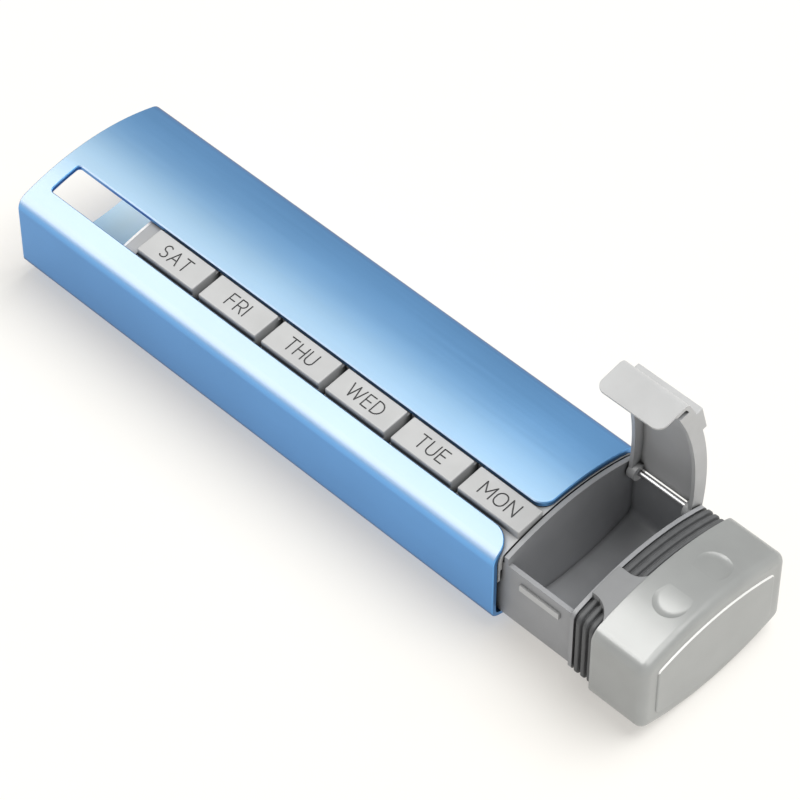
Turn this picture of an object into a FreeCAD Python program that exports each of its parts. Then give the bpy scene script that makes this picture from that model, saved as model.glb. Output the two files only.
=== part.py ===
import FreeCAD, Part
import Sketcher
import math
import os

# Weekly pill organizer: a flattened-oval aluminium sleeve with a slot along
# its top, and a seven-compartment tray that slides out of its open mouth.
# Frame: millimetres, +Z up, X along the sleeve, +Y to the hinge side.
# The origin is at the middle of the flat that the sleeve rests on.
# The tray is drawn pulled out by one compartment, with its first lid open.

doc = FreeCAD.newDocument("pill_organizer")

SIZES = [
    # sleeve section
    ("body_width", 53.6, "overall width of sleeve and cap"),
    ("body_height", 33.4, "overall height of sleeve and cap"),
    ("arch_radius", 75.6, "radius of the arched top and underside"),
    ("shoulder_radius", 4.25, "radius between the top arch and the sides"),
    ("foot_radius", 3.2, "radius between the underside and the sides"),
    ("foot_flat", 0.3, "height taken off the underside to make its resting flat"),
    ("sleeve_wall", 1.4, "wall of the aluminium sleeve"),
    ("slide_gap", 0.3, "gap between the sleeve's bore and the tray"),
    ("edge_break", 0.3, "chamfer on the sleeve's ends and slot"),
    # slot in the sleeve's top
    ("slot_middle", -13.525, "middle of the slot, along Y"),
    ("slot_width", 10.85, "width of the slot"),
    ("slot_corner", 1.2, "corner radius at the slot's far end"),
    ("mouth_rear_radius", 4.2, "rounded rear corner where the slot meets the mouth"),
    ("mouth_front_radius", 6.6, "rounded front corner where the slot meets the mouth"),
    ("mouth_margin", 1.2, "least distance from that corner to the sleeve's side"),
    # tray
    ("pitch", 24.0, "length of one compartment with its bulkhead"),
    ("bulkhead", 1.4, "thickness of the walls between compartments"),
    ("bulkhead_notch", 2.4, "depth of the notch in a bulkhead's rim, under the slot"),
    ("tray_wall", 1.4, "thickness of the tray's long walls"),
    ("tray_floor", 1.5, "thickness of the tray's floor"),
    ("floor_radius", 2.5, "inner radius along the compartment floors"),
    ("head_wall", 1.2, "wall between the first compartment and the ring"),
    ("tail_wall", 4.1, "solid wall at the tray's far end"),
    ("mouth_clear", 0.8, "gap from the mouth to the compartment that is drawn out"),
    ("rim_drop", 0.2, "depth of the front wall's rim below the shoulder's centre"),
    ("rear_gap", 0.35, "gap between the rear wall and the lid's hinge barrel"),
    ("latch_length", 13.5, "length of the catch on the front wall"),
    ("latch_height", 2.1, "height of the catch"),
    ("latch_drop", 4.4, "depth of the catch's middle below the shoulder's centre"),
    ("latch_out", 0.75, "how far the catch stands out of the front wall"),
    # lids
    ("lid_gap", 0.5, "gap between a lid and the bulkheads beside it"),
    ("lid_plate", 1.3, "thickness of the lid's arched plate and flap"),
    ("flap_gap", 0.2, "gap between the flap and the tray's front wall"),
    ("flap_drop", 9.0, "depth of the flap's free edge below the shoulder's centre"),
    ("flap_corner", 2.8, "radius of the flap's free corners"),
    ("catch_relief", 0.7, "depth cut from the flap's inner face for the catch"),
    ("cheek", 1.2, "thickness of the cheeks under the lid's ends"),
    ("cheek_depth", 4.5, "depth of the cheeks below the lid's outer face"),
    ("cheek_front_gap", 0.5, "gap between a cheek and the inside of the front wall"),
    ("knuckle", 2.6, "length of each of the lid's two hinge knuckles"),
    ("label_gap", 0.9, "gap between a label block and each edge of the slot"),
    ("label_end_gap", 0.3, "gap left at the slot's far end when the tray is shut"),
    ("label_proud", 0.8, "how far the block's front edge stands above the sleeve"),
    ("label_edge", 0.4, "rounding of the block's edges"),
    ("open_angle", 80.0, "how far the first lid is drawn open, in degrees"),
    # lettering
    ("letter_height", 4.6, "height of the engraved letters"),
    ("letter_stroke", 0.42, "width of an engraved stroke"),
    ("letter_space", 0.7, "space between letters"),
    ("letter_depth", 0.25, "depth of the engraving"),
    # hinge pins
    ("pin_radius", 0.8, "radius of the steel hinge pins"),
    ("pin_seat", 0.6, "length of pin held in each bulkhead"),
    ("pin_fit", 0.02, "radial gap of a pin in its bulkhead bores"),
    ("pin_run", 0.06, "radial gap of a pin in its lid"),
    # ring, core, cap and tail
    ("ring_length", 7.5, "length of the friction ring"),
    ("ring_rib_inset", 1.5, "depth of the rib crests below the sleeve's outer face"),
    ("ring_groove_inset", 2.6, "depth of the grooves below the sleeve's outer face"),
    ("ring_rib", 1.3, "width of one rib"),
    ("rib_edge", 0.35, "rounding of the ribs' edges"),
    ("tab_gap", 0.5, "gap between the ring's tab and the slot"),
    ("core_inset", 3.6, "depth of the core below the sleeve's outer face"),
    ("core_radius", 1.4, "corner radius of the core"),
    ("core_fit", 0.05, "gap between the core and what sits on it"),
    ("core_in_cap", 11.5, "length of core inside the cap"),
    ("cap_length", 18.0, "length of the end cap"),
    ("cap_edge", 2.6, "rounding of the cap's end"),
    ("panel_inset", 5.0, "distance of the end panel from the cap's outline"),
    ("panel_corner", 1.6, "corner radius of the end panel"),
    ("panel_height", 0.45, "how far the end panel stands proud"),
    ("panel_edge", 0.4, "rounding of the end panel's edge"),
    ("grip_length", 28.8, "length of the finger recess, across the cap"),
    ("grip_width", 13.4, "width of the finger recess"),
    ("grip_depth", 1.2, "depth of the finger notches at the recess's two ends"),
    ("grip_crest", 0.1, "height of the recess's floor over the cap, in its middle"),
    ("grip_slope", 3.0, "radius between the recess's floor and its wall"),
    ("grip_middle", 9.4, "distance of the recess's middle from the cap's flange"),
    ("pad_thickness", 1.0, "thickness of the pad on the tray's tail"),
    ("pad_inset", 0.4, "distance of the pad's outline inside the tail"),
    ("pad_groove", 0.3, "width and depth of the groove between the pad and the tail"),
]

DAYS = ["SUN", "MON", "TUE", "WED", "THU", "FRI", "SAT"]
OPEN_DAY = "SUN"
RIBS = 3
LABEL_ROOT = 0.6  # how far a label block reaches into its lid's plate
OVER = 1.0  # how far a cutting tool reaches past what it cuts
TOUCH = 1e-4  # distance below which two points count as one

sheet = doc.addObject("Spreadsheet::Sheet", "Sizes")
for row, (alias, value, note) in enumerate(SIZES, start=1):
    sheet.set(f"A{row}", note)
    sheet.set(f"B{row}", str(value))
    sheet.setAlias(f"B{row}", alias)
doc.recompute()


class Size:
    """A length that knows both its value and the expression it comes from."""

    def __init__(self, text, value):
        self.text = text
        self.value = float(value)

    def __add__(self, other):
        return join(self, "+", other, self.value + number(other))

    def __radd__(self, other):
        return as_size(other) + self

    def __sub__(self, other):
        return join(self, "-", other, self.value - number(other))

    def __rsub__(self, other):
        return as_size(other) - self

    def __mul__(self, other):
        return join(self, "*", other, self.value * number(other))

    def __rmul__(self, other):
        return as_size(other) * self

    def __truediv__(self, other):
        return join(self, "/", other, self.value / number(other))

    def __neg__(self):
        return 0 - self


def as_size(item):
    return item if isinstance(item, Size) else Size(repr(float(item)), item)


def number(item):
    return as_size(item).value


def join(left, sign, right, value):
    return Size(f"({left.text} {sign} {as_size(right).text})", value)


def root(item):
    return Size(f"sqrt({item.text})", math.sqrt(item.value))


def smaller(first, second):
    return Size(f"min({first.text}; {second.text})", min(first.value, second.value))


def cosine(item):
    return Size(f"cos({item.text} * 1deg)", math.cos(math.radians(item.value)))


def sine(item):
    return Size(f"sin({item.text} * 1deg)", math.sin(math.radians(item.value)))


def sized(alias):
    return Size(f"Sizes.{alias}", sheet.get(alias))


S = {alias: sized(alias) for alias, _, _ in SIZES}

# ---------------------------------------------------------------- helpers


def bind(item, prop, size):
    """Set a property from a size, and tie it to the sheet."""
    item.setExpression(prop, as_size(size).text)


def move_to(item, x=0, y=0, z=0, rotation=FreeCAD.Rotation()):
    """Place an object; each coordinate follows its size."""
    base = FreeCAD.Vector(number(x), number(y), number(z))
    item.Placement = FreeCAD.Placement(base, rotation)
    for axis, size in zip("xyz", (x, y, z)):
        bind(item, f"Placement.Base.{axis}", size)
    return item


def box(name, x, y, z):
    """A box between three pairs of sizes."""
    item = doc.addObject("Part::Box", name)
    bind(item, "Length", as_size(x[1]) - x[0])
    bind(item, "Width", as_size(y[1]) - y[0])
    bind(item, "Height", as_size(z[1]) - z[0])
    return move_to(item, x[0], y[0], z[0])


ALONG_X = FreeCAD.Rotation(FreeCAD.Vector(0, 1, 0), 90)
ALONG_Y = FreeCAD.Rotation(FreeCAD.Vector(1, 0, 0), 90)
YZ_PLANE = FreeCAD.Rotation(FreeCAD.Vector(1, 1, 1), 120)


def rod(name, radius, x, y, z):
    """A cylinder along X between the two sizes in x."""
    item = doc.addObject("Part::Cylinder", name)
    bind(item, "Radius", radius)
    bind(item, "Height", as_size(x[1]) - x[0])
    return move_to(item, x[0], y, z, ALONG_X)


def outline(name, corners, arcs=None):
    """A closed sketch through the corners, each tied to its sizes.

    arcs maps a corner's number to (centre, radius) where the stretch that
    leaves that corner is an arc that turns anticlockwise, or clockwise
    where the radius is negative.
    """
    arcs = arcs or {}
    sketch = doc.addObject("Sketcher::SketchObject", name)
    points = [FreeCAD.Vector(number(a), number(b), 0) for a, b in corners]
    starts = []
    for i, here in enumerate(points):
        there = points[(i + 1) % len(points)]
        if i in arcs:
            centre, radius = arcs[i]
            middle = FreeCAD.Vector(number(centre[0]), number(centre[1]), 0)
            circle = Part.Circle(middle, FreeCAD.Vector(0, 0, 1), abs(number(radius)))
            turn = (here, there) if number(radius) > 0 else (there, here)
            angles = [math.atan2(p.y - middle.y, p.x - middle.x) for p in turn]
            sketch.addGeometry(Part.ArcOfCircle(circle, angles[0], angles[1]), False)
            starts.append((1, 2) if number(radius) > 0 else (2, 1))
        else:
            sketch.addGeometry(Part.LineSegment(here, there), False)
            starts.append((1, 2))
    for i in range(len(points)):
        after = (i + 1) % len(points)
        link = Sketcher.Constraint("Coincident", i, starts[i][1], after, starts[after][0])
        sketch.addConstraint(link)
    for i, corner in enumerate(corners):
        for kind, size in zip(("DistanceX", "DistanceY"), corner):
            rule = Sketcher.Constraint(kind, -1, 1, i, starts[i][0], number(size))
            index = sketch.addConstraint(rule)
            bind(sketch, f"Constraints[{index}]", size)
    for i, (_, radius) in arcs.items():
        size = as_size(radius)
        size = size if size.value > 0 else -size
        index = sketch.addConstraint(Sketcher.Constraint("Radius", i, size.value))
        bind(sketch, f"Constraints[{index}]", size)
    return sketch


def extrude(name, sketch, length, direction):
    item = doc.addObject("Part::Extrusion", name)
    item.Base = sketch
    item.DirMode = "Custom"
    item.Dir = direction
    item.Solid = True
    bind(item, "LengthFwd", length)
    return item


def cut(name, base, tool):
    item = doc.addObject("Part::Cut", name)
    item.Base = base
    item.Tool = tool
    return item


def fuse(name, shapes):
    item = doc.addObject("Part::MultiFuse", name)
    item.Shapes = shapes
    item.Refine = True
    return item


def common(name, shapes):
    item = doc.addObject("Part::MultiCommon", name)
    item.Shapes = shapes
    return item


def round_edges(name, base, size, wanted, kind="Part::Fillet"):
    """Round, or chamfer, the edges of base that the test picks."""
    doc.recompute()
    item = doc.addObject(kind, name)
    item.Base = base
    numbered = enumerate(base.Shape.Edges, start=1)
    item.Edges = [(n, size.value, size.value) for n, edge in numbered if wanted(edge)]
    return item


# ---------------------------------------------------------------- places

HALF_WIDTH = S["body_width"] / 2
TOP_CENTRE = S["body_height"] - S["arch_radius"]
FOOT_CENTRE = S["arch_radius"] - S["foot_flat"]
ABOVE = S["body_height"] + OVER


def arch_height(y, inset=0):
    """Height of the top arch, a depth of inset below its face, at y."""
    radius = S["arch_radius"] - inset
    return TOP_CENTRE + root(radius * radius - y * y)


def corner_middle(radius, inset, centre, side):
    """Centre of the corner arc between a side and the arch about centre."""
    y = HALF_WIDTH - inset - radius
    reach = S["arch_radius"] - inset - radius
    return y, centre + root(reach * reach - y * y) * side


HINGE_Y, HINGE_Z = corner_middle(S["shoulder_radius"], as_size(0), TOP_CENTRE, 1)
TRAY_INSET = S["sleeve_wall"] + S["slide_gap"]
CAVITY = S["pitch"] - S["bulkhead"]
SLEEVE_LENGTH = (S["ring_length"] + S["head_wall"] + CAVITY + (len(DAYS) - 1) * S["pitch"]
                 + S["tail_wall"] + S["pad_thickness"])
MOUTH_X = SLEEVE_LENGTH / 2
FLANGE_X = MOUTH_X + S["mouth_clear"] + S["pitch"] + S["head_wall"] + S["ring_length"]
HEAD_X = FLANGE_X - S["ring_length"] - S["head_wall"]
TAIL_X = HEAD_X - CAVITY - (len(DAYS) - 1) * S["pitch"]
TRAY_END_X = TAIL_X - S["tail_wall"]
PAD_END_X = TRAY_END_X - S["pad_thickness"]
SLOT_REAR = S["slot_middle"] + S["slot_width"] / 2
SLOT_FRONT = S["slot_middle"] - S["slot_width"] / 2
MOUTH_FRONT = smaller(S["mouth_front_radius"], HALF_WIDTH + SLOT_FRONT - S["mouth_margin"])
SLOT_BRIDGE = S["pad_thickness"] + S["tail_wall"] + S["lid_gap"] - S["label_end_gap"]
REAR_WALL_Y = HALF_WIDTH - TRAY_INSET - S["tray_wall"]
FRONT_FACE_Y = -(HALF_WIDTH - TRAY_INSET - S["lid_plate"] - S["flap_gap"])
FRONT_WALL_Y = FRONT_FACE_Y + S["tray_wall"]
BARREL_RADIUS = S["shoulder_radius"] - TRAY_INSET
FRONT_RIM = HINGE_Z - S["rim_drop"]
LATCH_MIDDLE = HINGE_Z - S["latch_drop"]
FLAP_BOTTOM = HINGE_Z - S["flap_drop"]


def section(name, inset, x, shoulder=None, foot=None):
    """A length of the sleeve's flattened oval, inset all round."""
    inset = as_size(inset)
    reach = S["arch_radius"] - inset
    half = HALF_WIDTH - inset
    shoulder = shoulder or S["shoulder_radius"] - inset
    foot = foot or S["foot_radius"] - inset
    top_y, top_z = corner_middle(shoulder, inset, TOP_CENTRE, 1)
    foot_y, foot_z = corner_middle(foot, inset, FOOT_CENTRE, -1)
    top_share = reach / (reach - shoulder)
    foot_share = reach / (reach - foot)
    top_y2, top_z2 = top_y * top_share, TOP_CENTRE + (top_z - TOP_CENTRE) * top_share
    foot_y2, foot_z2 = foot_y * foot_share, FOOT_CENTRE - (FOOT_CENTRE - foot_z) * foot_share
    corners = [
        (half, foot_z),
        (half, top_z),
        (top_y2, top_z2),
        (-top_y2, top_z2),
        (-half, top_z),
        (-half, foot_z),
        (-foot_y2, foot_z2),
        (foot_y2, foot_z2),
    ]
    arcs = {
        1: ((top_y, top_z), shoulder),
        2: ((0, TOP_CENTRE), reach),
        3: ((-top_y, top_z), shoulder),
        5: ((-foot_y, foot_z), foot),
        6: ((0, FOOT_CENTRE), reach),
        7: ((foot_y, foot_z), foot),
    }
    sketch = move_to(outline(name + "_outline", corners, arcs), x=x[0], rotation=YZ_PLANE)
    return extrude(name, sketch, as_size(x[1]) - x[0], FreeCAD.Vector(1, 0, 0))


def flat_footed(name, base, x):
    """Trim the resting flat off the underside."""
    below = box(name + "_below", x, (-HALF_WIDTH, HALF_WIDTH), (-OVER, 0))
    return cut(name, base, below)


def at_x(*sizes):
    """A test for edges that lie in a plane across X at one of these sizes."""
    return lambda edge: any(all(abs(v.X - size.value) < TOUCH for v in edge.Vertexes) for size in sizes)


def rim_of(tool, core):
    """A test for edges that bound the tool and stay outside the core."""
    def on_rim(edge):
        points = [v.Point for v in edge.Vertexes]
        bounding = all(tool.Shape.isInside(point, TOUCH, True) for point in points)
        return bounding and not any(core.Shape.isInside(point, TOUCH, True) for point in points)

    return on_rim


# ---------------------------------------------------------------- sleeve


def slot_tool():
    """The slot seen from above, with its rounded mouth, as a cutter."""
    rear, front = SLOT_REAR, SLOT_FRONT
    end, mouth = SLOT_BRIDGE - MOUTH_X, MOUTH_X
    corner, back, fore = S["slot_corner"], S["mouth_rear_radius"], MOUTH_FRONT
    corners = [
        (end + corner, front),
        (mouth - fore, front),
        (mouth, front - fore),
        (mouth + OVER, front - fore),
        (mouth + OVER, rear + back),
        (mouth, rear + back),
        (mouth - back, rear),
        (end + corner, rear),
        (end, rear - corner),
        (end, front + corner),
    ]
    arcs = {
        1: ((mouth - fore, front - fore), -fore),
        5: ((mouth - back, rear + back), -back),
        7: ((end + corner, rear - corner), corner),
        9: ((end + corner, front + corner), corner),
    }
    sketch = move_to(outline("slot_outline", corners, arcs), z=HINGE_Z)
    return extrude("slot_tool", sketch, ABOVE - HINGE_Z, FreeCAD.Vector(0, 0, 1))


def build_sleeve():
    span = (-MOUTH_X, MOUTH_X)
    blank = section("sleeve_blank", 0, span)
    bore = section("sleeve_bore", S["sleeve_wall"], (-MOUTH_X - OVER, MOUTH_X + OVER))
    slot = slot_tool()
    slotted = cut("sleeve_slotted", cut("sleeve_tube", blank, bore), slot)
    at_end, slot_rim = at_x(-MOUTH_X, MOUTH_X), rim_of(slot, bore)

    def outer_rim(edge):
        inner = any(bore.Shape.isInside(v.Point, TOUCH, True) for v in edge.Vertexes)
        return slot_rim(edge) or (at_end(edge) and not inner)

    broken = round_edges("sleeve_broken", slotted, S["edge_break"], outer_rim, "Part::Chamfer")
    return flat_footed("sleeve", broken, span)


# ---------------------------------------------------------------- tray


def cavity_outline():
    """Cross-section of a compartment, open at its top."""
    radius = S["floor_radius"]
    reach = S["arch_radius"] - TRAY_INSET - S["tray_floor"]
    share = reach / (reach - radius)
    sides = []
    for wall, sign in ((REAR_WALL_Y, 1), (-FRONT_WALL_Y, -1)):
        y = wall - radius
        z = FOOT_CENTRE - root((reach - radius) * (reach - radius) - y * y)
        low_z = FOOT_CENTRE - (FOOT_CENTRE - z) * share
        sides.append((wall * sign, y * sign, z, y * share * sign, low_z))
    (rear, rear_y, rear_z, rear_low_y, rear_low_z) = sides[0]
    (front, front_y, front_z, front_low_y, front_low_z) = sides[1]
    corners = [
        (rear, rear_z),
        (rear, ABOVE),
        (front, ABOVE),
        (front, front_z),
        (front_low_y, front_low_z),
        (rear_low_y, rear_low_z),
    ]
    arcs = {
        3: ((front_y, front_z), radius),
        4: ((0, FOOT_CENTRE), reach),
        5: ((rear_y, rear_z), radius),
    }
    return corners, arcs


def cavity_start(i):
    return HEAD_X - CAVITY - i * S["pitch"]


def build_tray():
    """The tray; its first bulkhead shows at the mouth and keeps its whole rim."""
    blank = section("tray_blank", TRAY_INSET, (TRAY_END_X, FLANGE_X - S["ring_length"]))
    whole_row = (TAIL_X, HEAD_X)
    tools = [box("front_recess", whole_row, (-HALF_WIDTH, FRONT_FACE_Y), (0, ABOVE))]
    rear_top = HINGE_Z - BARREL_RADIUS - S["rear_gap"]
    barrel_front = HINGE_Y - BARREL_RADIUS - S["rear_gap"]
    corners, arcs = cavity_outline()
    for i, day in enumerate(DAYS):
        start = cavity_start(i)
        span = (start, start + CAVITY)
        sketch = outline(f"cavity_outline_{day}", corners, arcs)
        move_to(sketch, x=start, rotation=YZ_PLANE)
        tools.append(extrude(f"cavity_{day}", sketch, CAVITY, FreeCAD.Vector(1, 0, 0)))
        tools.append(box(f"rim_{day}", span, (-HALF_WIDTH, FRONT_WALL_Y + OVER), (FRONT_RIM, ABOVE)))
        tools.append(box(f"hinge_room_{day}", span, (barrel_front, HALF_WIDTH), (rear_top, ABOVE)))
        if 0 < i < len(DAYS) - 1:
            tools.append(box(f"notch_{day}", (start - S["bulkhead"], start), (SLOT_FRONT, SLOT_REAR),
                             (arch_height(SLOT_FRONT, TRAY_INSET) - S["bulkhead_notch"], ABOVE)))
    seat = S["pin_radius"] + S["pin_fit"]
    ends = (TAIL_X - S["pin_seat"], HEAD_X + S["pin_seat"])
    tools.append(rod("pin_bore", seat, ends, HINGE_Y, HINGE_Z))
    shell = cut("tray_shell", blank, fuse("tray_tools", tools))
    parts = [shell]
    half = S["latch_height"] / 2
    for i, day in enumerate(DAYS):
        start = cavity_start(i) + (CAVITY - S["latch_length"]) / 2
        parts.append(box(f"catch_{day}", (start, start + S["latch_length"]),
                         (FRONT_FACE_Y - S["latch_out"], FRONT_WALL_Y - S["tray_wall"] / 2),
                         (LATCH_MIDDLE - half, LATCH_MIDDLE + half)))
    return fuse("tray", parts)


# ---------------------------------------------------------------- lids

# Strokes of the letters on a square one letter high: straight ones as
# (x, y, x, y), and arcs as (centre x, centre y, radius, from, to) in degrees.
LETTERS = {
    "A": (0.70, [(0, 0, 0.35, 1), (0.35, 1, 0.7, 0), (0.12, 0.34, 0.58, 0.34)]),
    "D": (0.68, [(0, 0, 0, 1), (0, 0, 0.18, 0), (0, 1, 0.18, 1), (0.18, 0.5, 0.5, -90, 90)]),
    "E": (0.52, [(0, 0, 0, 1), (0, 1, 0.52, 1), (0, 0.52, 0.45, 0.52), (0, 0, 0.52, 0)]),
    "F": (0.52, [(0, 0, 0, 1), (0, 1, 0.52, 1), (0, 0.52, 0.45, 0.52)]),
    "H": (0.64, [(0, 0, 0, 1), (0.64, 0, 0.64, 1), (0, 0.52, 0.64, 0.52)]),
    "I": (0.0, [(0, 0, 0, 1)]),
    "M": (0.86, [(0, 0, 0, 1), (0, 1, 0.43, 0.3), (0.43, 0.3, 0.86, 1), (0.86, 1, 0.86, 0)]),
    "N": (0.70, [(0, 0, 0, 1), (0, 1, 0.7, 0), (0.7, 0, 0.7, 1)]),
    "O": (0.80, [(0, 0.4, 0, 0.6), (0.8, 0.4, 0.8, 0.6),
                 (0.4, 0.6, 0.4, 0, 180), (0.4, 0.4, 0.4, 180, 360)]),
    "R": (0.58, [(0, 0, 0, 1), (0, 1, 0.31, 1), (0, 0.46, 0.31, 0.46),
                 (0.31, 0.73, 0.27, -90, 90), (0.31, 0.46, 0.58, 0)]),
    "S": (0.54, [(0.27, 0.75, 0.25, 40, 270), (0.27, 0.25, 0.25, -140, 90)]),
    "T": (0.62, [(0, 1, 0.62, 1), (0.31, 0, 0.31, 1)]),
    "U": (0.64, [(0, 1, 0, 0.32), (0.64, 1, 0.64, 0.32), (0.32, 0.32, 0.32, 180, 360)]),
    "W": (1.10, [(0, 1, 0.28, 0), (0.28, 0, 0.55, 1), (0.55, 1, 0.82, 0), (0.82, 0, 1.1, 1)]),
}


def stroke_solids(stroke, scale, left, foot):
    """One stroke as upright solids with round ends, on the XY plane."""
    half = S["letter_stroke"].value / 2
    low = FreeCAD.Vector(0, 0, -S["letter_depth"].value)
    tall = S["letter_depth"].value + OVER
    up = FreeCAD.Vector(0, 0, 1)
    if len(stroke) == 4:
        start = FreeCAD.Vector(left + stroke[0] * scale, foot + stroke[1] * scale, 0) + low
        end = FreeCAD.Vector(left + stroke[2] * scale, foot + stroke[3] * scale, 0) + low
        angle = math.degrees(math.atan2(end.y - start.y, end.x - start.x))
        bar = Part.makeBox((end - start).Length, 2 * half, tall, FreeCAD.Vector(0, -half, 0))
        bar.Placement = FreeCAD.Placement(start, FreeCAD.Rotation(up, angle))
        tips = [start, end]
    else:
        middle = FreeCAD.Vector(left + stroke[0] * scale, foot + stroke[1] * scale, 0) + low
        radius = stroke[2] * scale
        sweep = stroke[4] - stroke[3]
        bar = Part.makeCylinder(radius + half, tall, FreeCAD.Vector(), up, sweep)
        bar = bar.cut(Part.makeCylinder(radius - half, tall, FreeCAD.Vector(), up, 360))
        bar.Placement = FreeCAD.Placement(middle, FreeCAD.Rotation(up, stroke[3]))
        tips = []
        for angle in (math.radians(stroke[3]), math.radians(stroke[4])):
            tips.append(middle + FreeCAD.Vector(math.cos(angle), math.sin(angle), 0) * radius)
    return [bar] + [Part.makeCylinder(half, tall, tip, up) for tip in tips]


def word_solid(word):
    """A word's strokes, centred on the origin, cutting down from z = 0."""
    scale = S["letter_height"].value - S["letter_stroke"].value
    gap = S["letter_space"].value + S["letter_stroke"].value
    length = sum(LETTERS[letter][0] * scale for letter in word) + gap * (len(word) - 1)
    solids = []
    left = -length / 2
    for letter in word:
        width, strokes = LETTERS[letter]
        for stroke in strokes:
            solids += stroke_solids(stroke, scale, left, -scale / 2)
        left += width * scale + gap
    return solids[0].multiFuse(solids[1:])


def label_block(day, half):
    """The raised block that fills the slot, with a plane sloping top."""
    rear = SLOT_REAR - S["label_gap"]
    front = SLOT_FRONT + S["label_gap"]
    inner = TRAY_INSET + S["lid_plate"] * LABEL_ROOT
    corners = [
        (front, arch_height(front, inner)),
        (rear, arch_height(rear, inner)),
        (rear, arch_height(rear)),
        (front, arch_height(front) + S["label_proud"]),
    ]
    sketch = outline(f"label_outline_{day}", corners)
    move_to(sketch, x=-half, rotation=YZ_PLANE)
    blank = extrude(f"label_blank_{day}", sketch, half * 2, FreeCAD.Vector(1, 0, 0))
    low = [corner[1].value for corner in corners[:2]]

    def rounded(edge):
        return not all(min(abs(v.Z - z) for z in low) < TOUCH for v in edge.Vertexes)

    return round_edges(f"label_{day}", blank, S["label_edge"], rounded), corners


def engraving(day, corners):
    """The day's letters, laid on the sloping top of its block."""
    (rear_y, rear_z), (front_y, front_z) = corners[2], corners[3]
    run, rise = rear_y.value - front_y.value, rear_z.value - front_z.value
    middle = FreeCAD.Vector(0, front_y.value + run / 2, front_z.value + rise / 2)
    tilt = FreeCAD.Rotation(FreeCAD.Vector(1, 0, 0), math.degrees(math.atan2(rise, run)))
    word = doc.addObject("Part::Feature", f"word_{day}")
    word.Shape = word_solid(day)
    word.Placement = FreeCAD.Placement(middle, tilt)
    return word


def flap_trim(day, half):
    """The lid seen from the front, with the flap's rounded free corners."""
    radius = S["flap_corner"]
    low = FLAP_BOTTOM
    corners = [
        (half, low + radius),
        (half, ABOVE),
        (-half, ABOVE),
        (-half, low + radius),
        (radius - half, low),
        (half - radius, low),
    ]
    arcs = {
        3: ((radius - half, low + radius), radius),
        5: ((half - radius, low + radius), radius),
    }
    sketch = outline(f"flap_outline_{day}", corners, arcs)
    move_to(sketch, y=HALF_WIDTH, rotation=ALONG_Y)
    return extrude(f"flap_trim_{day}", sketch, S["body_width"], FreeCAD.Vector(0, -1, 0))


def build_lid(day, number_in_row):
    """One lid about x = 0, then moved to its compartment."""
    half = CAVITY / 2 - S["lid_gap"]
    span = (-half, half)
    outer = section(f"lid_outer_{day}", TRAY_INSET, span)
    inner = section(f"lid_inner_{day}", TRAY_INSET + S["lid_plate"], span)
    shell = cut(f"lid_shell_{day}", outer, inner)
    reach = box(f"lid_reach_{day}", span, (-HALF_WIDTH, HINGE_Y), (FLAP_BOTTOM, ABOVE))
    plate = common(f"lid_plate_{day}", [shell, reach, flap_trim(day, half)])
    knuckles = []
    for side, ends in (("left", (-half, S["knuckle"] - half)), ("right", (half - S["knuckle"], half))):
        knuckles.append(rod(f"knuckle_{side}_{day}", BARREL_RADIUS, ends, HINGE_Y, HINGE_Z))
    cheek_front = FRONT_WALL_Y + S["cheek_front_gap"]
    arch = rod(f"cheek_arch_{day}", S["arch_radius"] - TRAY_INSET - S["cheek_depth"],
               (-half - OVER, half + OVER), 0, TOP_CENTRE)
    cheeks = []
    for side, ends in (("left", (-half, S["cheek"] - half)), ("right", (half - S["cheek"], half))):
        slab = box(f"cheek_slab_{side}_{day}", ends, (cheek_front, HINGE_Y), (FLAP_BOTTOM, ABOVE))
        cheeks.append(slab)
    slabs = fuse(f"cheek_slabs_{day}", cheeks)
    band = common(f"cheek_band_{day}", [slabs, section(f"cheek_outer_{day}", TRAY_INSET, span)])
    cheek = cut(f"cheeks_{day}", band, arch)
    label, corners = label_block(day, half)
    body = fuse(f"lid_body_{day}", [plate, *knuckles, cheek, label])
    half_catch = S["latch_height"] / 2 + S["lid_gap"]
    face = FRONT_FACE_Y - S["flap_gap"]
    relief = box(f"catch_relief_{day}", (-half - OVER, half + OVER),
                 (face - S["catch_relief"], face + OVER),
                 (FLAP_BOTTOM - OVER, LATCH_MIDDLE + half_catch))
    bore = rod(f"lid_bore_{day}", S["pin_radius"] + S["pin_run"], (-half - OVER, half + OVER),
               HINGE_Y, HINGE_Z)
    tools = fuse(f"lid_tools_{day}", [relief, bore, engraving(day, corners)])
    lid = cut(f"lid_{day.lower()}", body, tools)
    angle = S["open_angle"] if day == OPEN_DAY else as_size(0)
    turn = FreeCAD.Rotation(FreeCAD.Vector(1, 0, 0), -angle.value)
    middle = cavity_start(number_in_row) + CAVITY / 2
    swung_y = HINGE_Y - HINGE_Y * cosine(angle) - HINGE_Z * sine(angle)
    swung_z = HINGE_Z + HINGE_Y * sine(angle) - HINGE_Z * cosine(angle)
    return move_to(lid, middle, swung_y, swung_z, turn)


def build_pin(day, number_in_row):
    start = cavity_start(number_in_row)
    ends = (start - S["pin_seat"], start + CAVITY + S["pin_seat"])
    return rod(f"hinge_pin_{day.lower()}", S["pin_radius"], ends, HINGE_Y, HINGE_Z)


# ---------------------------------------------------------------- ring end


def core_section(name, gap, x):
    """The core's section, or a hole for it where gap is its fit."""
    radius = S["core_radius"] + gap
    return section(name, S["core_inset"] - gap, x, radius, radius)


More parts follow.
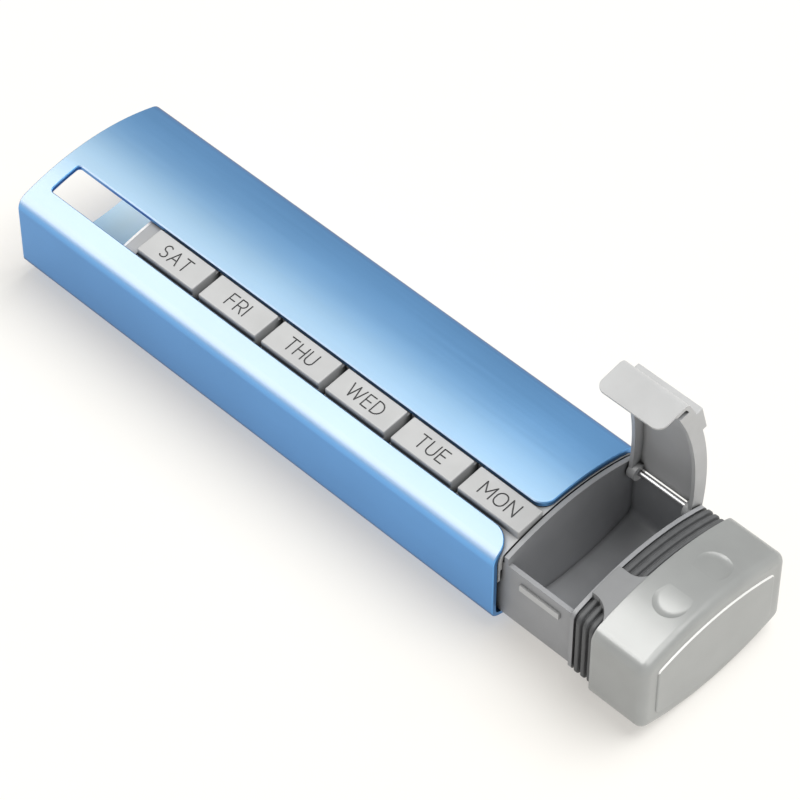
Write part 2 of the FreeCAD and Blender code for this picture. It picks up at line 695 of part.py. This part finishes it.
def tab_tool(x):
    """The ring's tab seen from above, filling the slot's rounded mouth."""
    gap = S["tab_gap"]
    back, fore = S["mouth_rear_radius"], MOUTH_FRONT
    rear, front = SLOT_REAR, SLOT_FRONT
    rear_flare = rear + back - root((back + gap) * (back + gap) - back * back)
    front_flare = front - fore + root((fore + gap) * (fore + gap) - fore * fore)
    corners = [
        (x[0], front + gap),
        (x[1] - fore, front + gap),
        (x[1], front_flare),
        (x[1], rear_flare),
        (x[1] - back, rear - gap),
        (x[0], rear - gap),
    ]
    arcs = {
        1: ((x[1] - fore, front - fore), -(fore + gap)),
        3: ((x[1] - back, rear + back), -(back + gap)),
    }
    sketch = move_to(outline("tab_outline", corners, arcs), z=HINGE_Z)
    return extrude("tab_tool", sketch, ABOVE - HINGE_Z, FreeCAD.Vector(0, 0, 1))


def build_ring():
    span = (FLANGE_X - S["ring_length"], FLANGE_X)
    parts = [section("ring_band", S["ring_groove_inset"], span)]
    groove = (S["ring_length"] - RIBS * S["ring_rib"]) / (RIBS + 1)
    for i in range(RIBS):
        start = span[0] + groove * (i + 1) + S["ring_rib"] * i
        crest = (start, start + S["ring_rib"])
        rib = section(f"ring_rib_{i}", S["ring_rib_inset"], crest)
        parts.append(round_edges(f"soft_rib_{i}", rib, S["rib_edge"], at_x(*crest)))
    parts.append(common("ring_tab", [section("tab_blank", 0, span), tab_tool(span)]))
    hole = core_section("ring_hole", S["core_fit"], (span[0] - OVER, span[1] + OVER))
    return cut("friction_ring", fuse("ring_body", parts), hole)


def build_core():
    return core_section("cap_core", as_size(0), (FLANGE_X - S["ring_length"], FLANGE_X + S["core_in_cap"]))


def grip_tool():
    """A stadium seen from above, whose arched floor bites only at its ends."""
    middle = FLANGE_X + S["grip_middle"]
    radius = S["grip_width"] / 2
    end = S["grip_length"] / 2
    reach = end - radius
    corners = [
        (middle + radius, -reach),
        (middle + radius, reach),
        (middle, end),
        (middle - radius, reach),
        (middle - radius, -reach),
        (middle, -end),
    ]
    arcs = {
        1: ((middle, reach), radius),
        2: ((middle, reach), radius),
        4: ((middle, -reach), radius),
        5: ((middle, -reach), radius),
    }
    sketch = move_to(outline("grip_outline", corners, arcs), z=HINGE_Z)
    tall = S["body_height"] - HINGE_Z + S["grip_slope"] * 2
    plan = extrude("grip_plan", sketch, tall, FreeCAD.Vector(0, 0, 1))
    crest = S["body_height"] + S["grip_crest"]
    drop = crest - arch_height(end) + S["grip_depth"]
    floor_radius = (end * end + drop * drop) / (drop * 2)
    span = (FLANGE_X, FLANGE_X + S["cap_length"])
    floor = rod("grip_floor", floor_radius, span, 0, crest - floor_radius)
    blank = cut("grip_blank", plan, floor)

    def at_floor(edge):
        return all(abs(math.hypot(v.Y, v.Z - crest.value + floor_radius.value) - floor_radius.value) < TOUCH
                   for v in edge.Vertexes)

    return round_edges("grip_tool", blank, S["grip_slope"], at_floor)


def build_cap():
    end = FLANGE_X + S["cap_length"]
    span = (FLANGE_X, end)
    blank = section("cap_blank", 0, span)
    soft = round_edges("cap_soft", blank, S["cap_edge"], at_x(end))
    stood = flat_footed("cap_stood", soft, span)
    socket = core_section("cap_socket", S["core_fit"],
                          (FLANGE_X - OVER, FLANGE_X + S["core_in_cap"] + S["core_fit"]))
    face = end + S["panel_height"]
    slab = section("panel_slab", S["panel_inset"], (end - OVER, face), S["panel_corner"], S["panel_corner"])
    panel = round_edges("cap_panel", slab, S["panel_edge"], at_x(face))
    gripped = cut("cap_gripped", stood, fuse("cap_tools", [socket, grip_tool()]))
    return fuse("end_cap", [gripped, panel])


def build_pad():
    face_inset = TRAY_INSET + S["pad_inset"]
    neck_x = TRAY_END_X - S["pad_groove"]
    face = section("pad_face", face_inset, (PAD_END_X, neck_x))
    neck = section("pad_neck", face_inset + S["pad_groove"], (neck_x, TRAY_END_X))
    return fuse("tail_pad", [face, neck])


# ---------------------------------------------------------------- assembly

nodes = [build_sleeve(), build_tray(), build_ring(), build_core(), build_cap(), build_pad()]
for position, day_name in enumerate(DAYS):
    nodes.append(build_lid(day_name, position))
    nodes.append(build_pin(day_name, position))
doc.recompute()

for item in doc.Objects:
    if "Invalid" in item.State or "Error" in item.State:
        raise SystemExit(f"{item.Name} did not build: {item.State}")
for node in nodes:
    if node.Shape.isNull() or not node.Shape.isValid() or node.Shape.Volume <= 0:
        raise SystemExit(f"{node.Name} has no valid solid")

os.makedirs("parts", exist_ok=True)
for node in nodes:
    node.Label = node.Name
    node.Shape.exportStep(f"parts/{node.Name}.step")
    print(node.Name, len(node.Shape.Solids), round(node.Shape.Volume, 1))
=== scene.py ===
import math

import bpy
from mathutils import Matrix, Vector


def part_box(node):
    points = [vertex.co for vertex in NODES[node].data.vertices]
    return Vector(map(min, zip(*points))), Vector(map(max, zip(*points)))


# Looks of the weekly pill organizer: an anodised sleeve, a moulded tray with
# seven lids, a rubber ring and a frosted end cap. Everything is in metres, in
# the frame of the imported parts: X along the sleeve, +Y to the hinges, Z up.

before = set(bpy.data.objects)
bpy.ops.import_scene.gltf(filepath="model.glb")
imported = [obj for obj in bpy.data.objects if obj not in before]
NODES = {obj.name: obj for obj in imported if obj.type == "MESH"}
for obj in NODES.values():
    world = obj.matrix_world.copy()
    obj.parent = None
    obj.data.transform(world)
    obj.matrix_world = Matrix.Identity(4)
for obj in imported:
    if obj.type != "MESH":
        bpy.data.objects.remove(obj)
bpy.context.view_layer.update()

MM = 0.001
X_AXIS = Vector((1, 0, 0))
CAP_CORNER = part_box("end_cap")[1]  # its highest x, y and z

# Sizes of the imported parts, for telling their faces apart.
ARCH_RADIUS = 75.6 * MM
TAB_DEPTH = 1.425 * MM  # just above the ring's ribs, below the arch
CATCH_FRONT = -23.65 * MM
CATCH_FOOT = 20.0 * MM
CATCH_TOP = 22.2 * MM
PANEL_STEP = 0.44 * MM
PANEL_RIM_TILT = 0.2  # least upward part of the normal on the panel's lit rim
LETTER_DEPTH = 0.25 * MM
PLANE_STEP = 0.025 * MM
NORMAL_DIGITS = 3

# ---------------------------------------------------------------- camera

CAMERA_AZIMUTH = 44.5
CAMERA_ELEVATION = 48.69
CAMERA_DISTANCE = 0.9965
CAMERA_LENS = 169.04
CAMERA_AIM = Vector((0.0291, 0.0017, 0.0179))


def make_camera():
    """A long lens at three-quarter view, seen from the cap's end."""
    turn, lift = math.radians(CAMERA_AZIMUTH), math.radians(CAMERA_ELEVATION)
    flat = math.cos(lift)
    back = Vector((math.sin(turn) * flat, -math.cos(turn) * flat, math.sin(lift)))
    data = bpy.data.cameras.new("camera")
    data.lens = CAMERA_LENS
    camera = bpy.data.objects.new("camera", data)
    camera.location = CAMERA_AIM + back * CAMERA_DISTANCE
    camera.rotation_mode = "QUATERNION"
    camera.rotation_quaternion = (-back).to_track_quat("-Z", "Y")
    bpy.context.scene.collection.objects.link(camera)
    bpy.context.scene.camera = camera


# ---------------------------------------------------------------- light

WHITE = (1.0, 0.995, 0.97)
WARM = (1.0, 0.41, 0.22)
AMBER = (1.0, 0.42, 0.14)
ROOM = 0.50
KEY_STRENGTH = 2.6
KEY_FROM = Vector((0.22, 0.38, 0.90))
CAP_KEY_STRENGTH = 2.3
CAP_KEY_FROM = Vector((0.32, -0.06, 0.94))
KEY_SPREAD = math.radians(50)
STUDIO_RADIUS = 1.3
REFLECTOR_TURN = math.radians(30)  # how far the reflectors stand to the far end
SLEEVE_REFLECTOR = 1.5  # lengths of the reflectors
PLASTIC_REFLECTOR = 1.2


def facing(away):
    """The turn that points a light back along away, its width along X."""
    width = (X_AXIS - away * away.x).normalized()
    return Matrix((width, away.cross(width), away)).transposed().to_quaternion()


def hang(name, data, away):
    """Put a light in the studio, in this direction from the organizer."""
    light = bpy.data.objects.new(name, data)
    light.location = CAMERA_AIM + away * STUDIO_RADIUS
    light.rotation_mode = "QUATERNION"
    light.rotation_quaternion = facing(away)
    bpy.context.scene.collection.objects.link(light)
    return light


def only_for(light, objects):
    """Let a light reach these objects alone."""
    seers = bpy.data.collections.new(light.name)
    for item in objects:
        seers.objects.link(item)
    light.light_linking.receiver_collection = seers


def make_key(name, strength, came_from, objects):
    """A broad distant light for these objects."""
    data = bpy.data.lights.new(name, "SUN")
    data.energy = strength
    data.angle = KEY_SPREAD
    data.color = WHITE
    only_for(hang(name, data, came_from.normalized()), objects)


def reflector(name, edges, length, radiance, colour, objects):
    """A long panel along X that only shows as a reflection in these objects.

    edges are the angles of its two long edges round the X axis, in degrees
    from straight up, with the hinge side positive.
    """
    first, last = (math.radians(edge) for edge in edges)
    middle, half = (first + last) / 2, (last - first) / 2
    flat = math.cos(REFLECTOR_TURN)
    away = Vector((-math.sin(REFLECTOR_TURN), math.sin(middle) * flat, math.cos(middle) * flat))
    data = bpy.data.lights.new(name, "AREA")
    data.shape = "RECTANGLE"
    data.size = length
    data.size_y = 2 * STUDIO_RADIUS * math.tan(half) * flat
    data.energy = radiance * math.pi * data.size * data.size_y
    data.color = colour
    light = hang(name, data, away)
    light.visible_diffuse = False
    only_for(light, objects)


def make_light(floor):
    """A pale room, a key light from behind, one for the cap, and reflectors."""
    world = bpy.data.worlds.new("studio")
    world.use_nodes = True
    room = world.node_tree.nodes["Background"]
    room.inputs["Color"].default_value = (*WHITE, 1.0)
    room.inputs["Strength"].default_value = ROOM
    bpy.context.scene.world = world
    bpy.context.scene.view_settings.view_transform = "Standard"
    sleeve, cap = NODES["sleeve"], NODES["end_cap"]
    plastics = [node for node in NODES.values() if node not in (sleeve, cap)]
    make_key("key", KEY_STRENGTH, KEY_FROM, [sleeve, floor, *plastics])
    make_key("cap_key", CAP_KEY_STRENGTH, CAP_KEY_FROM, [cap])
    reflector("low_reflector", (-84, -62), SLEEVE_REFLECTOR, 2.6, WARM, [sleeve])
    reflector("shoulder_reflector", (-62, 6), SLEEVE_REFLECTOR, 5.2, WARM, [sleeve])
    reflector("top_reflector", (6, 34), SLEEVE_REFLECTOR, 2.5, AMBER, [sleeve])
    reflector("plastic_reflector", (-50, 4), PLASTIC_REFLECTOR, 6.0, WHITE, plastics)
    reflector("cap_reflector", (-45, 12), PLASTIC_REFLECTOR, 9.0, WHITE, [cap])


# ---------------------------------------------------------------- materials

NOISE_RANGE = (0.3, 0.7)  # the middle range that most of a noise lies in
BEVEL_SAMPLES = 6
CREVICE_SAMPLES = 8
EVEN_SCATTER = (1.0, 1.0, 1.0)  # the same subsurface radius in every colour


class Finish:
    """A Principled material whose textures are placed in the frame's metres."""

    def __init__(self, name, **values):
        self.material = bpy.data.materials.new(name)
        self.material.use_nodes = True
        self.tree = self.material.node_tree
        self.shader = self.tree.nodes["Principled BSDF"]
        self.place = self.node("ShaderNodeTexCoord").outputs["Object"]
        for key, value in values.items():
            socket = key.replace("_", " ").title().replace("Ior", "IOR")
            self.shader.inputs[socket].default_value = value

    def node(self, kind, **settings):
        made = self.tree.nodes.new(kind)
        for name, value in settings.items():
            setattr(made, name, value)
        return made

    def link(self, source, target):
        self.tree.links.new(source, target)

    def feed(self, source, socket):
        self.link(source, self.shader.inputs[socket])

    def stretched(self, stretch):
        mapping = self.node("ShaderNodeMapping")
        mapping.inputs["Scale"].default_value = stretch
        self.link(self.place, mapping.inputs["Vector"])
        return mapping.outputs["Vector"]

    def noise(self, size, stretch=(1, 1, 1), detail=3.0):
        """Noise whose lumps are about size across, from 0 to 1."""
        texture = self.node("ShaderNodeTexNoise")
        texture.inputs["Scale"].default_value = 1 / size
        texture.inputs["Detail"].default_value = detail
        self.link(self.stretched(stretch), texture.inputs["Vector"])
        return texture.outputs["Fac"]

    def cells(self, size):
        texture = self.node("ShaderNodeTexVoronoi")
        texture.inputs["Scale"].default_value = 1 / size
        self.link(self.place, texture.inputs["Vector"])
        return texture.outputs["Distance"]

    def between(self, factor, low, high):
        """The factor's middle range, spread between two numbers."""
        spread = self.node("ShaderNodeMapRange")
        spread.inputs["From Min"].default_value = NOISE_RANGE[0]
        spread.inputs["From Max"].default_value = NOISE_RANGE[1]
        spread.inputs["To Min"].default_value = low
        spread.inputs["To Max"].default_value = high
        self.link(factor, spread.inputs["Value"])
        return spread.outputs["Result"]

    def colours(self, factor, dark, light):
        """A colour between dark and light, following the factor."""
        ramp = self.node("ShaderNodeValToRGB")
        low, high = ramp.color_ramp.elements
        low.position, high.position = NOISE_RANGE
        low.color, high.color = (*dark, 1), (*light, 1)
        self.link(factor, ramp.inputs["Fac"])
        return ramp.outputs["Color"]

    def blend(self, factor, first, second):
        mix = self.node("ShaderNodeMix", data_type="RGBA")
        self.link(factor, mix.inputs["Factor"])
        self.link(first, mix.inputs["A"])
        self.link(second, mix.inputs["B"])
        return mix.outputs["Result"]

    def painted_crevice_shade(self, colour, reach, darkest):
        """The colour, darkened by painted shade where other surfaces close it in."""
        closed = self.node("ShaderNodeAmbientOcclusion", samples=CREVICE_SAMPLES)
        closed.inputs["Distance"].default_value = reach
        shade = self.node("ShaderNodeVectorMath", operation="SCALE")
        self.link(colour, shade.inputs["Vector"])
        self.link(self.between(closed.outputs["AO"], darkest, 1.0), shade.inputs["Scale"])
        return shade.outputs["Vector"]

    def relief(self, edge, *layers):
        """Softened edges, then each (height, depth) layer of surface relief."""
        rounded = self.node("ShaderNodeBevel", samples=BEVEL_SAMPLES)
        rounded.inputs["Radius"].default_value = edge
        normal = rounded.outputs["Normal"]
        for height, depth in layers:
            bump = self.node("ShaderNodeBump")
            bump.inputs["Distance"].default_value = depth
            self.link(height, bump.inputs["Height"])
            self.link(normal, bump.inputs["Normal"])
            normal = bump.outputs["Normal"]
        self.feed(normal, "Normal")


def scaled(colour, factor):
    return tuple(channel * factor for channel in colour)


def anodised_blue():
    """Satin anodised aluminium, with the faint lines left by extrusion."""
    blue = (0.150, 0.400, 0.780)
    finish = Finish("anodised_blue", metallic=0.95, coat_weight=0.2, coat_roughness=0.28,
                    specular_tint=(0.45, 0.15, 0.0, 1.0))
    cloud = finish.noise(40 * MM)
    lines = finish.noise(1.1 * MM, stretch=(0.02, 1, 1))
    grain = finish.noise(0.12 * MM)
    deep = finish.colours(cloud, scaled(blue, 0.98), scaled(blue, 1.05))
    pale = finish.colours(cloud, scaled(blue, 1.02), scaled(blue, 1.09))
    finish.feed(finish.blend(lines, deep, pale), "Base Color")
    finish.feed(finish.between(lines, 0.36, 0.39), "Roughness")
    finish.relief(0.1 * MM, (lines, 0.0028 * MM), (grain, 0.0015 * MM))
    return finish.material


def moulded(name, colour, roughness, grain_depth=0.01 * MM):
    """Moulded plastic with a fine spark-eroded texture, slight mottling, and painted shade where other
    surfaces close it in.
    """
    finish = Finish(name, specular_ior_level=0.45)
    mottle = finish.noise(9 * MM)
    grain = finish.noise(0.22 * MM, detail=2.0)
    shades = finish.colours(mottle, scaled(colour, 0.95), scaled(colour, 1.04))
    # Painted shade: the colour darkens where other surfaces stand within 3 mm.
    finish.feed(finish.painted_crevice_shade(shades, 3 * MM, 0.12), "Base Color")
    finish.feed(finish.between(grain, roughness - 0.05, roughness + 0.07), "Roughness")
    finish.relief(0.15 * MM, (grain, grain_depth))
    return finish.material


def letter_ink():
    """The dark paint wiped into the engraved letters."""
    finish = Finish("letter_ink")
    patches = finish.noise(0.5 * MM)
    finish.feed(finish.colours(patches, (0.030, 0.031, 0.034), (0.060, 0.061, 0.065)), "Base Color")
    finish.feed(finish.between(patches, 0.5, 0.65), "Roughness")
    return finish.material


def rubber(name, colour, dust):
    """Matt rubber with a dusty bloom, dust being how uneven its colour is."""
    finish = Finish(name, specular_ior_level=0.35, sheen_weight=0.15, sheen_roughness=0.5)
    bloom = finish.noise(3 * MM)
    grain = finish.noise(0.18 * MM, detail=2.0)
    finish.feed(finish.colours(bloom, scaled(colour, 1 - dust), scaled(colour, 1 + dust)), "Base Color")
    finish.feed(finish.between(bloom, 0.48, 0.62), "Roughness")
    finish.relief(0.2 * MM, (grain, 0.012 * MM))
    return finish.material


def frosted(name, colour):
    """Frosted translucent plastic, cloudy inside and satin outside."""
    finish = Finish(name, subsurface_weight=0.35, subsurface_scale=4 * MM,
                    subsurface_radius=EVEN_SCATTER, coat_weight=0.5, coat_roughness=0.25,
                    specular_ior_level=0.5)
    cloud = finish.noise(14 * MM, detail=2.0)
    grain = finish.noise(0.15 * MM, detail=2.0)
    finish.feed(finish.colours(cloud, scaled(colour, 0.95), scaled(colour, 1.05)), "Base Color")
    finish.feed(finish.between(grain, 0.30, 0.42), "Roughness")
    finish.relief(0.25 * MM, (grain, 0.004 * MM))
    return finish.material


def ground_steel():
    """Ground steel, with fine rings round the pin."""
    finish = Finish("ground_steel", metallic=1.0)
    rings = finish.noise(0.15 * MM, stretch=(1, 0.05, 0.05))
    finish.feed(finish.colours(rings, (0.34, 0.34, 0.35), (0.46, 0.46, 0.47)), "Base Color")
    finish.feed(finish.between(rings, 0.34, 0.46), "Roughness")
    finish.relief(0.08 * MM, (rings, 0.003 * MM))
    return finish.material


def foam():
    """White closed-cell foam."""
    finish = Finish("foam", specular_ior_level=0.2)
    cells = finish.cells(0.35 * MM)
    finish.feed(finish.colours(cells, (0.78, 0.79, 0.80), (0.90, 0.91, 0.92)), "Base Color")
    finish.feed(finish.between(cells, 0.7, 0.85), "Roughness")
    finish.relief(0.2 * MM, (cells, 0.03 * MM))
    return finish.material


def paint(node, material):
    """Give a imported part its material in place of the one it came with."""
    slots = NODES[node].data.materials
    slots.clear()
    slots.append(material)


def paint_faces(node, material, wanted):
    """Give the faces that the test picks a second material."""
    mesh = NODES[node].data
    mesh.materials.append(material)
    for face in mesh.polygons:
        if wanted(face):
            face.material_index = len(mesh.materials) - 1


def arch_height(y):
    """Height of the sleeve's arched top at y, which is also the cap's."""
    return CAP_CORNER.z - ARCH_RADIUS + math.sqrt(ARCH_RADIUS ** 2 - y ** 2)


def on_tab(face):
    """True for the ring's faces above its ribs, which are its tab's."""
    return face.center.z > arch_height(face.center.y) - TAB_DEPTH


def on_catch(face):
    """True for the faces of the catches that stand out of the tray's front."""
    return face.center.y < CATCH_FRONT and CATCH_FOOT < face.center.z < CATCH_TOP


def on_panel_rim(face):
    """True for the rounded upper edge of the cap's end panel, which gets a painted highlight."""
    return face.center.x > CAP_CORNER.x - PANEL_STEP and face.normal.z > PANEL_RIM_TILT


def engraved(mesh):
    """A test for a lid's faces that are inside its engraved letters.

    The top of the label block is the widest plane that has a parallel one,
    the letters' floor, exactly the engraving's depth below it.
    """
    planes = {}
    for face in mesh.polygons:
        key = tuple(round(value, NORMAL_DIGITS) for value in face.normal)
        offset = round(face.normal.dot(face.center) / PLANE_STEP)
        planes.setdefault(key, {}).setdefault(offset, []).append(face)
    steps = round(LETTER_DEPTH / PLANE_STEP)
    found = []
    for normal, offsets in planes.items():
        for offset, faces in offsets.items():
            if offset - steps in offsets:
                found.append((sum(face.area for face in faces), normal, offset, faces))
    _, normal, offset, faces = max(found, key=lambda item: item[0])
    up = Vector(normal)
    across = X_AXIS.cross(up)
    corners = [mesh.vertices[i].co for face in faces for i in face.vertices]
    spans = [(min(c.dot(axis) for c in corners), max(c.dot(axis) for c in corners))
             for axis in (X_AXIS, across)]

    def inside(face):
        depth = offset * PLANE_STEP - face.center.dot(up)
        places = (face.center.x, face.center.dot(across))
        within = all(low + PLANE_STEP < place < high - PLANE_STEP
                     for place, (low, high) in zip(places, spans))
        return within and PLANE_STEP < depth < LETTER_DEPTH + PLANE_STEP

    return inside


def finish_everything():
    lid_grey = moulded("lid_grey", (0.51, 0.515, 0.525), 0.42)
    # Painted shade: the tray is the lids' plastic, given a darker grey for the shade on its front wall.
    tray_shaded_grey = moulded("tray_shaded_grey", (0.33, 0.337, 0.355), 0.40)
    ink = letter_ink()
    steel = ground_steel()
    paint("sleeve", anodised_blue())
    paint("tray", tray_shaded_grey)
    # Painted light: the catches get a lighter grey than the tray, for the light their relief catches.
    paint_faces("tray", moulded("catch_painted_light", (0.54, 0.545, 0.555), 0.40), on_catch)
    paint("friction_ring", rubber("ring_rubber", (0.085, 0.088, 0.093), 0.12))
    paint_faces("friction_ring", rubber("tab_rubber", (0.25, 0.255, 0.265), 0.03), on_tab)
    paint("cap_core", moulded("core_grey", (0.30, 0.30, 0.31), 0.4))
    paint("end_cap", frosted("frosted_grey", (0.325, 0.335, 0.335)))
    # Painted highlight: a near-white frosted grey on the upward-facing rim of the end panel.
    paint_faces("end_cap", frosted("panel_painted_highlight", (0.86, 0.86, 0.86)), on_panel_rim)
    paint("tail_pad", foam())
    for name in NODES:
        if name.startswith("lid_"):
            paint(name, lid_grey)
            paint_faces(name, ink, engraved(NODES[name].data))
        if name.startswith("hinge_pin_"):
            paint(name, steel)


# ---------------------------------------------------------------- floor

FLOOR_SIDE = 20.0


def make_floor():
    """A plain pale floor, at the height of the face that the sleeve rests on."""
    bpy.ops.mesh.primitive_plane_add(size=FLOOR_SIDE, location=(0, 0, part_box("sleeve")[0].z))
    floor = bpy.context.object
    floor.name = "floor"
    finish = Finish("floor_white", roughness=0.9, specular_ior_level=0.1, emission_strength=1.0,
                    base_color=(0.52, 0.515, 0.50, 1), emission_color=(0.42, 0.405, 0.385, 1))
    floor.data.materials.append(finish.material)
    return floor


# ---------------------------------------------------------------- build

make_camera()
make_light(make_floor())
finish_everything()
